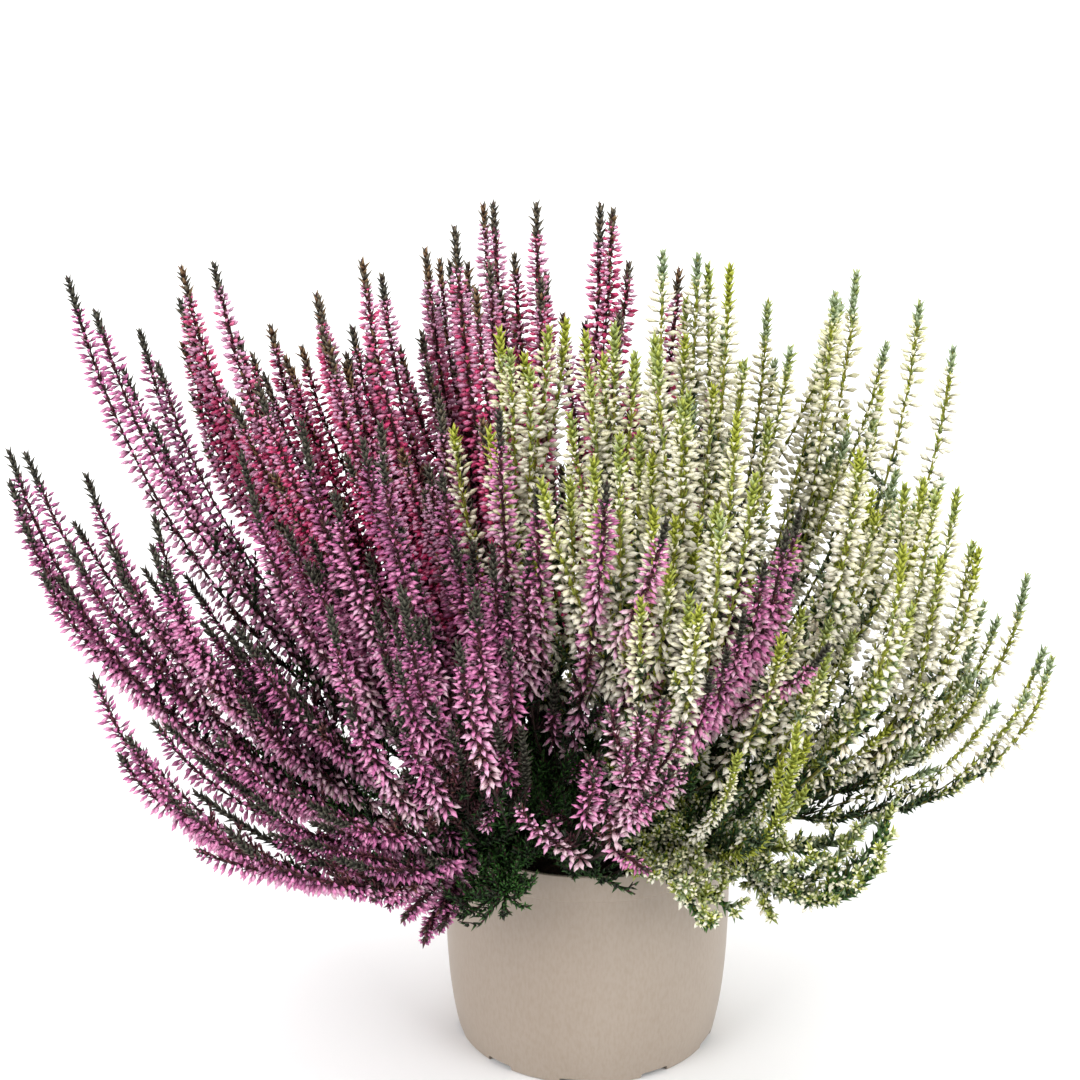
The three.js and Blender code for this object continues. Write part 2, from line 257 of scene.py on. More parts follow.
potLook = {
    "colours": [(0.3, "#9b8d7f"), (0.7, "#a19487")], "grainDark": "#f5f3f0",
    "clouds": 14, "grain": 900, "stretch": (1, 1, 0.35),
    "rough": (0.36, 0.5), "bump": 0.12, "depth": 0.1 * mm, "gloss": 0.5,
}
compostLook = {
    "colours": [(0.3, "#1c140e"), (0.55, "#33251a"), (0.75, "#4b3827")], "grainDark": "#5c4c3e",
    "clouds": 160, "grain": 900, "stretch": (1, 1, 1),
    "rough": (0.8, 1.0), "bump": 0.8, "depth": 0.6 * mm, "gloss": 0.2,
}
barkLook = {
    "colours": [(0.3, "#33241a"), (0.7, "#5c4632")], "grainDark": "#8a786a",
    "clouds": 220, "grain": 900, "stretch": (1, 1, 0.3),
    "rough": (0.7, 0.95), "bump": 0.7, "depth": 0.5 * mm, "gloss": 0.3,
}

finishes = {
    "mauveBuds": growthMaterial("mauveBuds", mauveBudLook),
    "crimsonBuds": growthMaterial("crimsonBuds", crimsonBudLook),
    "whiteBuds": growthMaterial("whiteBuds", whiteBudLook),
    "darkLeaves": growthMaterial("darkLeaves", darkLeafLook),
    "limeLeaves": growthMaterial("limeLeaves", limeLeafLook),
    "brownStems": growthMaterial("brownStems", mauveStemLook),
    "oliveStems": growthMaterial("oliveStems", whiteStemLook),
    "potPlastic": grainMaterial("potPlastic", potLook),
    "compostCrumb": grainMaterial("compostCrumb", compostLook),
    "crownBark": grainMaterial("crownBark", barkLook),
}
print("finishes made")


# The pot is turned from its outline: a tapered wall under a collar, and slots in its bottom edge.
pot = {
    "baseRadius": 56 * mm, "wall": 1.6 * mm, "floor": 1.8 * mm, "collar": 12 * mm, "collarStep": 0.5 * mm,
    "belly": 4, "corner": 1.2 * mm, "lip": 0.6 * mm, "undercut": 0.2 * mm, "innerDrop": 1 * mm,
    "wallRows": 16, "steps": 120, "sharpAngle": 32,
    "slots": 10, "slotTurn": -24, "slotSize": (14 * mm, 13 * mm, 5.2 * mm), "slotInset": 1 * mm,
    "slotCorner": 1.1 * mm, "cornerSteps": 4,
}
potTop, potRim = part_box("pot")[1][2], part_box("pot")[1][0]
potShoulder = potTop - pot["collar"]


def potRadiusAt(z):
    return mixed(potRim - pot["collarStep"], pot["baseRadius"], (1 - z / potShoulder) ** pot["belly"])


def arcPoints(centre, radius, start, end, steps=4):
    turns = [math.radians(start + (end - start) * i / steps) for i in range(steps + 1)]
    return [(centre[0] + radius * math.cos(turn), centre[1] + radius * math.sin(turn)) for turn in turns]


def spinOutline(bm, outline, steps):
    profile = [bm.verts.new((radius, 0, z)) for radius, z in outline]
    edges = [bm.edges.new(pair) for pair in zip(profile, profile[1:])]
    bmesh.ops.spin(bm, geom=profile + edges, axis=(0, 0, 1), cent=(0, 0, 0), dvec=(0, 0, 0),
                   angle=fullTurn, steps=steps, use_merge=True)
    bmesh.ops.remove_doubles(bm, verts=bm.verts, dist=1e-6)
    bmesh.ops.recalc_face_normals(bm, faces=bm.faces)


def buildPot():
    corner, lip, wall = pot["corner"], pot["lip"], pot["wall"]
    outline = [(0, 0), (pot["baseRadius"] * 0.5, 0)]
    outline += arcPoints((potRadiusAt(corner) - corner, corner), corner, -90, 0)
    for row in range(1, pot["wallRows"] + 1):
        height = mixed(corner, potShoulder, row / pot["wallRows"])
        outline.append((potRadiusAt(height), height))
    outline += arcPoints((potRim - lip, potShoulder + lip + pot["undercut"]), lip, -60, 0, 3)
    outline += arcPoints((potRim - lip, potTop - lip), lip, 0, 90)
    outline += arcPoints((potRim - wall + lip, potTop - lip), lip, 90, 180)
    for row in range(pot["wallRows"], -1, -1):
        height = mixed(pot["floor"] + corner, potShoulder - pot["innerDrop"], row / pot["wallRows"])
        outline.append((potRadiusAt(height) - wall, height))
    outline += [(outline[-1][0] - corner, pot["floor"]), (0, pot["floor"])]
    bm = bmesh.new()
    spinOutline(bm, outline, pot["steps"])
    shell = finishPiece("pot_shell", bm, finishes["potPlastic"], ["pot"])
    cutters = bmesh.new()
    for k in range(pot["slots"]):
        turn = Matrix.Rotation(math.radians(pot["slotTurn"] + 360 * k / pot["slots"]), 4, "Z")
        place = turn @ Matrix.Translation((pot["baseRadius"] - pot["slotInset"], 0, 0))
        place = place @ Matrix.Diagonal((*pot["slotSize"], 1))
        made = bmesh.ops.create_cube(cutters, size=1, matrix=place)["verts"]
        top = [vert for vert in made if vert.co.z > 0]
        back = turn.inverted()
        rails = [edge for edge in dict.fromkeys(edge for vert in top for edge in vert.link_edges)
                 if all(vert in top for vert in edge.verts)
                 and abs((back @ edge.verts[0].co - back @ edge.verts[1].co).y) < weldGap]
        bmesh.ops.bevel(cutters, geom=rails, offset=pot["slotCorner"], segments=pot["cornerSteps"],
                        profile=0.5, affect="EDGES", material=-1)
    cutterMesh = bpy.data.meshes.new("slotCutters")
    cutters.to_mesh(cutterMesh)
    cutters.free()
    cutter = bpy.data.objects.new("slotCutters", cutterMesh)
    scene.collection.objects.link(cutter)
    cut = shell.modifiers.new("slots", "BOOLEAN")
    cut.operation, cut.solver, cut.object = "DIFFERENCE", "EXACT", cutter
    graph = bpy.context.evaluated_depsgraph_get()
    finished = bpy.data.meshes.new_from_object(shell.evaluated_get(graph))
    shell.modifiers.clear()
    shell.data = finished
    finished.shade_smooth()
    finished.set_sharp_from_angle(angle=math.radians(pot["sharpAngle"]))
    bpy.data.objects.remove(cutter)


buildPot()
print("pot built")


# The compost swells a little in the middle and is rough on top, with loose crumbs over it.
compost = {
    "gap": 0.3 * mm, "edgeGap": 0.2 * mm, "edgeDrop": 3 * mm, "topDrop": 1.5 * mm, "rings": 30, "steps": 96,
    "swell": 1.6 * mm, "swellScale": 60, "swellEdge": 4, "even": 0.6,
    "grain": 1.2 * mm, "grainScale": 500, "grainEdge": 12,
    "crumbs": 350, "crumbSize": (0.5 * mm, 1.8 * mm), "crumbWidth": (0.5, 1), "crumbHeight": (0.4, 0.8),
    "crumbEdge": 3 * mm, "crumbDrop": 0.4 * mm, "seed": 4,
}


def buildCompost():
    rng = random.Random(compost["seed"])
    low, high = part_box("compost")
    inset = pot["wall"] + compost["gap"]
    rimRadius = potRadiusAt(high[2]) - inset
    top = high[2] - compost["topDrop"]
    outline = [(0, low[2]), (potRadiusAt(low[2]) - inset, low[2])]
    outline.append((rimRadius - compost["edgeGap"], high[2] - compost["edgeDrop"]))
    for ring in range(compost["rings"] + 1):
        outline.append((rimRadius * (1 - ring / compost["rings"]), top))
    bm = bmesh.new()
    spinOutline(bm, outline, compost["steps"])
    for vert in bm.verts:
        if vert.co.z > top - weldGap:
            share = 1 - vert.co.xy.length / rimRadius
            hills = compost["even"] + (1 - compost["even"]) * noise.noise(vert.co * compost["swellScale"])
            vert.co.z += compost["swell"] * min(1, share * compost["swellEdge"]) * hills
            bumps = noise.noise(vert.co * compost["grainScale"])
            vert.co.z += compost["grain"] * bumps * min(1, share * compost["grainEdge"])
    for k in range(compost["crumbs"]):
        turn = rng.uniform(0, fullTurn)
        out = (rimRadius - compost["crumbEdge"]) * rng.random() ** 0.5
        size = between(rng, compost["crumbSize"])
        height = high[2] - compost["crumbDrop"]
        place = Matrix.Translation((out * math.cos(turn), out * math.sin(turn), height))
        place = place @ Matrix.Rotation(rng.uniform(0, 3), 4, (rng.random(), rng.random(), 1))
        wide = between(rng, compost["crumbWidth"])
        thick = between(rng, compost["crumbHeight"])
        place = place @ Matrix.Diagonal((1, wide, thick, 1))
        bmesh.ops.create_icosphere(bm, subdivisions=1, radius=size, matrix=place)
    finishPiece("compost_fill", bm, finishes["compostCrumb"], ["compost"])


buildCompost()
print("compost built")


# A crown is the node's own solid, rounded off and roughened.
crownWood = {"cuts": 1, "rounding": 0.25, "swell": 0.35 * mm, "grainScale": 500}


def buildCrown(plant):
    bm = bmesh.new()
    bm.from_mesh(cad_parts[f"{plant}_crown"].data)
    bmesh.ops.remove_doubles(bm, verts=bm.verts, dist=weldGap)
    bmesh.ops.recalc_face_normals(bm, faces=bm.faces)
    bmesh.ops.subdivide_edges(bm, edges=bm.edges, cuts=crownWood["cuts"], smooth=crownWood["rounding"],
                              use_grid_fill=True)
    bmesh.ops.triangulate(bm, faces=bm.faces)
    for vert in bm.verts:
        vert.co += vert.normal * crownWood["swell"] * noise.noise(vert.co * crownWood["grainScale"])
    finishPiece(f"{plant}_crown_wood", bm, finishes["crownBark"], [f"{plant}_crown"])


# Shapes that repeat stand on +Z, one unit long and two wide, turned from an outline and closed. Each is
# made once for every row of ages on the map.
shapes = {
    "sides": 3, "ageRows": 8, "rowMargin": 0.15, "footPlace": 0.03, "footSpread": 0.02,
    "bud": {"outline": [(0, 0), (1.0, 0.64), (0, 1)], "bend": 0.25},
    "leaf": {"outline": [(1.0, 0), (0, 1)], "bend": -0.35},
}


def makeShape(name):
    rows = []
    margin = shapes["rowMargin"]
    for row in range(shapes["ageRows"]):
        bm = bmesh.new()
        spinOutline(bm, shapes[name]["outline"], shapes["sides"])
        bmesh.ops.holes_fill(bm, edges=bm.edges, sides=shapes["sides"])
        bmesh.ops.triangulate(bm, faces=bm.faces)
        bmesh.ops.recalc_face_normals(bm, faces=bm.faces)
        sheet = bm.loops.layers.uv.new(bakeMap)
        for face in bm.faces:
            middle = face.calc_center_median()
            facing = math.atan2(middle.y, middle.x)
            flat = face.normal.z < -0.9
            for loop in face.loops:
                co = loop.vert.co
                lean = math.atan2(co.y, co.x) - facing if co.xy.length > 1e-4 else 0
                lean = (lean + math.pi) % fullTurn - math.pi
                around = (facing + lean) / fullTurn + 0.5
                along = shapes["footPlace"] + shapes["footSpread"] * co.x if flat else co.z
                loop[sheet].uv = (along, (row + margin + (1 - 2 * margin) * around) / shapes["ageRows"])
        for vert in bm.verts:
            vert.co.x += shapes[name]["bend"] * vert.co.z ** 2
        mesh = bpy.data.meshes.new(f"{name}Shape{row}")
        bm.to_mesh(mesh)
        bm.free()
        rest = [0.0] * (3 * len(mesh.vertices))
        mesh.vertices.foreach_get("co", rest)
        rows.append((mesh, rest))
    return rows


def addCopy(bm, shape, age, place):
    rows = len(shape)
    mesh, rest = shape[min(rows - 1, max(0, int(age * rows)))]
    mesh.vertices.foreach_set("co", rest)
    mesh.transform(place)
    bm.from_mesh(mesh)


budShape = makeShape("bud")
leafShape = makeShape("leaf")


# Lines of growth are read from the frame, and then followed in equal steps.
tracing = {
    "sharpestTip": math.pi / 2, "ringSize": 5, "baseReach": 2.2 * mm, "curveSteps": 8, "step": 1 * mm,
}


def crownTree(plant):
    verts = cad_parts[f"{plant}_crown"].data.vertices
    tree = KDTree(len(verts))
    for i, vert in enumerate(verts):
        tree.insert(vert.co, i)
    tree.balance()
    return tree


# Each shoot of a node ends in a sharp tip over rings of five corners. The rings are followed down to the
# fork where the shoots meet. The longest row of rings is the main stem, which goes on to the crown.
def readShoots(node, crown):
    bm = bmesh.new()
    bm.from_mesh(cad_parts[node].data)
    bmesh.ops.remove_doubles(bm, verts=bm.verts, dist=weldGap)
    shoots = []
    for tip in bm.verts:
        if sum(loop.calc_angle() for loop in tip.link_loops) > tracing["sharpestTip"]:
            continue
        ring, seen, centres = [tip], {tip}, [tip.co.copy()]
        while len(ring) in (1, tracing["ringSize"]):
            around = dict.fromkeys(edge.other_vert(vert) for vert in ring for edge in vert.link_edges)
            ring = [vert for vert in around if vert not in seen]
            if not ring:
                break
            centres.append(sum((vert.co for vert in ring), Vector()) / len(ring))
            seen.update(ring)
        shoots.append(centres)
    shoots.sort(key=len, reverse=True)
    nearest = min(bm.verts, key=lambda vert: crown.find(vert.co)[2])
    foot = [v.co for v in bm.verts if (v.co - nearest.co).length < tracing["baseReach"]]
    base = sum(foot, Vector()) / len(foot)
    bm.free()
    main, sides = shoots[0], shoots[1:]
    lines = [[base, *reversed(main)]]
    lines += [[main[-1], *reversed(side[:-1])] for side in sides]
    return lines


# Frames at equal steps along a smooth curve through the points: Z looks along it, X keeps to one side.
def followLine(points):
    spread = [2 * points[0] - points[1], *points, 2 * points[-1] - points[-2]]
    dense = []
    for a, b, c, d in zip(spread, spread[1:], spread[2:], spread[3:]):
        for k in range(tracing["curveSteps"]):
            t = k / tracing["curveSteps"]
            straight = 2 * b + (c - a) * t
            curved = (2 * a - 5 * b + 4 * c - d) * t ** 2
            dense.append((straight + curved + (3 * b - a - 3 * c + d) * t ** 3) / 2)
    dense.append(points[-1].copy())
    spots, left = [dense[0]], tracing["step"]
    for a, b in zip(dense, dense[1:]):
        span = (b - a).length
        done = left
        while done <= span:
            spots.append(a.lerp(b, done / span))
            done += tracing["step"]
        left = done - span
    frames = []
    side = (spots[1] - spots[0]).orthogonal()
    for i, spot in enumerate(spots):
        ahead = (spots[min(i + 1, len(spots) - 1)] - spots[max(i - 1, 0)]).normalized()
        side = (side - side.project(ahead)).normalized()
        turn = Matrix((side, ahead.cross(side), ahead)).transposed()
        frames.append(Matrix.Translation(spot) @ turn.to_4x4())
    return frames


def lineLength(frames):
    return (len(frames) - 1) * tracing["step"]


def frameAt(frames, distance):
    return frames[min(len(frames) - 1, max(0, round(distance / tracing["step"])))]


# A stem is one ring drawn along its frames, a stride of frames at a time.
stemRules = {"endRadius": 0.35 * mm, "mapMargin": 0.1}


def addStem(bm, sheet, frames, rootRadius, endRadius, sides, stride):
    spots = list(range(0, len(frames) - 1, stride)) + [len(frames) - 1]
    ring = bmesh.ops.create_circle(bm, cap_ends=True, cap_tris=False, segments=sides,
                                   radius=rootRadius, matrix=frames[0])["verts"]
    edges = list(dict.fromkeys(edge for vert in ring for edge in vert.link_edges))
    margin = stemRules["mapMargin"]
    last, radius = frames[0], rootRadius
    for k, spot in enumerate(spots[1:], 1):
        share = k / (len(spots) - 1)
        wide = mixed(rootRadius, endRadius, share)
        made = bmesh.ops.extrude_edge_only(bm, edges=edges)["geom"]
        verts = [item for item in made if isinstance(item, bmesh.types.BMVert)]
        edges = [item for item in made if isinstance(item, bmesh.types.BMEdge)
                 and all(vert in verts for vert in item.verts)]
        move = frames[spot] @ Matrix.Scale(wide / radius, 4) @ last.inverted()
        bmesh.ops.transform(bm, matrix=move, verts=verts)
        back = frames[spot].inverted()
        for face in (item for item in made if isinstance(item, bmesh.types.BMFace)):
            middle = back @ face.calc_center_median()
            facing = math.atan2(middle.y, middle.x) / fullTurn + 0.5
            for loop in face.loops:
                co = back @ loop.vert.co
                lean = (math.atan2(co.y, co.x) / fullTurn + 0.5 - facing + 0.5) % 1 - 0.5
                along = share if loop.vert in verts else (k - 1) / (len(spots) - 1)
                around = margin + (1 - 2 * margin) * (facing + lean)
                loop[sheet].uv = (along, min(1, max(0, around)))
        last, radius = frames[spot], wide
    bmesh.ops.contextual_create(bm, geom=edges)


# Spikes carry buds under a leafy tip. Lengths and widths are of one bud or leaf, and ages are places on
# the map. A foot is the bare share of a stem, at its lower end.
plantLooks = {
    "mauve": {
        "buds": "mauveBuds", "leaves": "darkLeaves", "stems": "brownStems",
        "budSlot": "mauve_buds", "leafSlot": "olive_leaves", "stemSlot": "woody_stem",
        "bareFoot": (0.14, 0.26), "sideFoot": (0.04, 0.12), "leafyTip": (12 * mm, 22 * mm),
        "laterals": (2, 4), "sideLaterals": (1, 2), "leafyShare": 0.06, "leafyMain": False,
        "budGap": 3.8 * mm, "budsRound": 5, "bareShare": 0.15,
        "budLength": (5.2 * mm, 6.9 * mm), "budWidth": 1.18 * mm, "opening": (66, 124),
        "ripeness": (0.14, 0.88), "ageSpread": 0.22, "shade": 0.2,
        "sprigShare": 1, "sprigTop": 0.66, "flowering": 0.04, "sprigBuds": 0.65,
        "tipLeaf": {"length": 4.0 * mm, "width": 1.4 * mm, "ages": (0.0, 0.04)},
        "stemLeaf": {"length": 3.8 * mm, "width": 1.1 * mm, "ages": (0.38, 0.6)},
        "sprigLeaf": {"length": 4.0 * mm, "width": 1.1 * mm, "ages": (0.46, 0.95)},
        "lowLeaf": {"length": 3.4 * mm, "width": 1.0 * mm, "ages": (0.7, 1.0)},
    },
    "crimson": {
        "buds": "crimsonBuds", "leaves": "darkLeaves", "stems": "brownStems",
        "budSlot": "crimson_buds", "leafSlot": "olive_leaves", "stemSlot": "woody_stem",
        "bareFoot": (0.24, 0.36), "sideFoot": (0.04, 0.12), "leafyTip": (11 * mm, 19 * mm),
        "laterals": (2, 4), "sideLaterals": (1, 2), "leafyShare": 0.22, "leafyMain": False,
        "budGap": 3.7 * mm, "budsRound": 6, "bareShare": 0.15,
        "budLength": (4.4 * mm, 6.0 * mm), "budWidth": 1.32 * mm, "opening": (68, 112),
        "ripeness": (0.14, 0.66), "ageSpread": 0.27, "shade": 0.15,
        "sprigShare": 1, "sprigTop": 0.66, "flowering": 0.0, "sprigBuds": 0.65,
        "tipLeaf": {"length": 4.3 * mm, "width": 1.5 * mm, "ages": (0.1, 0.28)},
        "stemLeaf": {"length": 4.2 * mm, "width": 1.3 * mm, "ages": (0.32, 0.52)},
        "sprigLeaf": {"length": 4.0 * mm, "width": 1.2 * mm, "ages": (0.36, 0.7)},
    },
    "white": {
        "buds": "whiteBuds", "leaves": "limeLeaves", "stems": "oliveStems",
        "budSlot": "white_buds", "leafSlot": "lime_leaves", "stemSlot": "white_stem",
        "bareFoot": (0.32, 0.44), "sideFoot": (0.04, 0.12), "leafyTip": (9 * mm, 20 * mm),
        "laterals": (2, 2), "sideLaterals": (0, 1), "leafyShare": 0.08, "leafyMain": False,
        "budGap": 5.1 * mm, "budsRound": 5, "bareShare": 0.5,
        "budLength": (5.7 * mm, 7.5 * mm), "budWidth": 1.5 * mm, "opening": (56, 122),
        "ripeness": (0.25, 0.85), "ageSpread": 0.14, "shade": 0.1,
        "sprigShare": 1.3, "sprigTop": 0.72, "flowering": 0.3, "sprigBuds": 0.95,
        "tipLeaf": {"length": 4.4 * mm, "width": 1.5 * mm, "ages": (0.0, 0.34)},
        "stemLeaf": {"length": 4.2 * mm, "width": 1.3 * mm, "ages": (0.0, 0.36)},
        "sprigLeaf": {"length": 4.0 * mm, "width": 1.2 * mm, "ages": (0.58, 0.82)},
        "lowLeaf": {"length": 4.8 * mm, "width": 1.5 * mm, "ages": (0.26, 1.0)},
    },
}

# How stems, spikes and leaves are built up. Tilts are in degrees and turns in radians.
shootKinds = {
    "main": {"radius": 0.95 * mm, "sides": 5, "stride": 6, "sprigs": 28, "tipShare": 1},
    "side": {"radius": 0.65 * mm, "sides": 4, "stride": 7, "sprigs": 7, "tipShare": 0.8},
    "lateral": {"radius": 0.45 * mm, "sides": 3, "stride": 9, "sprigs": 0, "tipShare": 0.7},
}
spikeRules = {
    "tipLimit": 0.4, "firstLength": 0.5, "budGrow": 10 * mm, "firstWidth": 0.6, "budSwell": 40 * mm,
    "ripening": 0.7, "ringTurn": (0.4, 0.8), "budTurn": 0.26, "budTilt": 11, "budOut": 0.3 * mm,
    "budShift": (-0.6 * mm, 0.6 * mm), "widths": (0.85, 1.1), "gaps": (0.9, 1.1), "hang": 0.4,
    "hangLoss": 0.25, "youngRun": 45 * mm, "youngGap": 0.66, "leafTilt": (16, 40), "leafTurn": 2.4,
}
lateralRules = {
    "start": (0.15, 0.42), "length": (0.3, 0.5), "reach": (9 * mm, 16 * mm), "lift": 0.3,
    "marks": (0, 0.2, 0.45, 0.7, 1),
}
aimRules = {"leave": 0.4, "arrive": 0.16, "rise": 0.2, "steps": 5}
leafRules = {
    "thick": 0.6, "out": 0.1 * mm, "start": 0.6 * mm, "sizes": (0.85, 1.15), "ages": (-0.08, 0.08),
    "turns": (-0.2, 0.2),
    "tip": {"gap": 1.7 * mm, "round": 3, "tilt": (32, 58), "grow": 1.6 * mm, "first": 0.8, "endTilt": 22},
    "sprig": {"gap": 2.2 * mm, "round": 2, "tilt": (28, 54), "grow": 3 * mm, "first": 0.6, "endTilt": 8},
}

# Side growth that ends at a place of its own, in millimetres, and the share of the stem where it leaves.
aimedTips = {
    "mauve_branch_01": [(-171, -50, 164, 0.12), (-158, -55, 152, 0.1), (-141, -60, 141, 0.08),
        (-229, -32, 261, 0.55), (-224, -36, 245, 0.5), (-217, -42, 226, 0.42), (-150, -58, 146, 0.09)],
    "mauve_branch_03": [(-177, -96, 180, 0.45), (-162, -95, 154, 0.4), (-181, -95, 172, 0.5)],
    "mauve_branch_06": [(-171, -44, 251, 0.5), (-167, -48, 232, 0.4)],
    "mauve_branch_07": [(-66, -98, 92, 0.2), (-74, -100, 103, 0.25), (-58, -95, 98, 0.15),
        (-151, -105, 136, 0.5), (-85, -100, 112, 0.35), (-94, -102, 116, 0.4), (-60, -96, 96, 0.2),
        (-73, -98, 104, 0.25), (-66, -97, 95, 0.2), (-80, -92, 105, 0.3), (-60, -92, 102, 0.15)],
    "mauve_branch_15": [(4, -96, 282, 0.45), (26, -104, 271, 0.35)],
    "mauve_branch_16": [(71, -92, 262, 0.5), (63, -94, 250, 0.45), (55, -104, 234, 0.35),
        (49, -106, 220, 0.3), (43, -108, 211, 0.22), (88, -100, 220, 0.4)],
    "mauve_branch_17": [(6, -112, 202, 0.68), (-3, -113, 181, 0.56), (26, -110, 202, 0.66),
        (12, -118, 186, 0.62), (-29, -112, 159, 0.3), (17, -114, 201, 0.75), (33, -106, 190, 0.6),
        (22, -116, 185, 0.66), (20, -118, 168, 0.6), (29, -112, 173, 0.55), (21, -116, 133, 0.5)],
    "mauve_shoot_01": [(-52, -88, 105, 0.3), (-44, -84, 118, 0.3), (-25, -82, 121, 0.2),
        (-6, -78, 116, 0.1), (8, -80, 108, 0.1), (18, -82, 104, 0.12), (-8, -62, 159, 0.5),
        (-11, -8, 148, 0.15), (-17, -15, 143, 0.1), (-53, -92, 98, 0.7), (-45, -92, 95, 0.75),
        (-36, -94, 100, 0.8), (-28, -90, 106, 0.7), (-49, -88, 104, 0.6), (-39, -90, 104, 0.7),
        (-56, -90, 104, 0.6)],
    "crimson_branch_01": [(-171, 50, 313, 0.3), (-171, 50, 294, 0.28), (-168, 50, 272, 0.25),
        (-164, 50, 250, 0.22)],
    "crimson_branch_02": [(-149, 60, 296, 0.3), (-143, 60, 287, 0.35)],
    "crimson_branch_03": [(-125, 40, 287, 0.3), (-114, 60, 311, 0.35), (-122, 60, 290, 0.3)],
    "crimson_branch_04": [(-97, 20, 309, 0.35), (-100, 16, 295, 0.3)],
    "crimson_branch_05": [(-50, 40, 331, 0.3), (-79, 40, 295, 0.35), (-70, 45, 300, 0.4),
        (-67, 30, 291, 0.45)],
    "crimson_branch_07": [(-37, 40, 319, 0.3), (-18, 40, 327, 0.3)],
    "crimson_branch_08": [(-11, 34, 311, 0.35), (9, 30, 356, 0.4), (16, 30, 334, 0.4)],
    "crimson_branch_12": [(-93, 70, 262, 0.2), (-102, 70, 249, 0.2)],
    "white_branch_01": [(-17, -26, 322, 0.4), (-10, -22, 324, 0.4), (-24, -34, 307, 0.35),
        (-32, -32, 315, 0.4)],
    "white_branch_02": [(-3, -32, 321, 0.35), (-1, -40, 306, 0.3), (4, -36, 314, 0.4),
        (16, -38, 315, 0.4), (-9, -42, 292, 0.3)],
    "white_branch_04": [(63, 14, 297, 0.35), (48, 30, 333, 0.4)],
    "white_branch_05": [(82, 20, 301, 0.35), (103, 30, 317, 0.4)],
    "white_branch_06": [(102, 44, 317, 0.4), (99, 20, 323, 0.3), (124, 40, 297, 0.3)],
    "white_branch_09": [(132, -22, 258, 0.4), (125, -20, 256, 0.4), (131, -60, 266, 0.35)],
    "white_branch_10": [(138, -44, 219, 0.3), (148, -50, 242, 0.5), (138, -40, 222, 0.35),
        (134, -60, 240, 0.4)],
    "white_branch_11": [(166, -20, 198, 0.4), (160, -20, 205, 0.35), (157, -20, 187, 0.3)],
    "white_branch_12": [(182, -38, 193, 0.5), (176, -44, 176, 0.4), (164, -44, 171, 0.3)],
    "white_branch_13": [(-1, -86, 288, 0.35), (-20, -84, 279, 0.3)],
    "white_branch_14": [(33, -66, 304, 0.4), (24, -50, 320, 0.45)],
    "white_branch_15": [(59, -90, 284, 0.4)],
    "white_branch_16": [(101, -66, 282, 0.45)],
    "white_branch_20": [(112, 60, 192, 0.25), (125, 40, 181, 0.25)],
    "white_shoot_01": [(59, -86, 96, 0.3), (45, -86, 102, 0.3), (23, -80, 110, 0.2),
        (50, -88, 114, 0.2)],
    "white_shoot_02": [(73, -86, 94, 0.3), (82, -88, 107, 0.3), (68, -88, 114, 0.2)],
    "white_shoot_03": [(120, -72, 141, 0.55), (108, -78, 136, 0.4)],
}

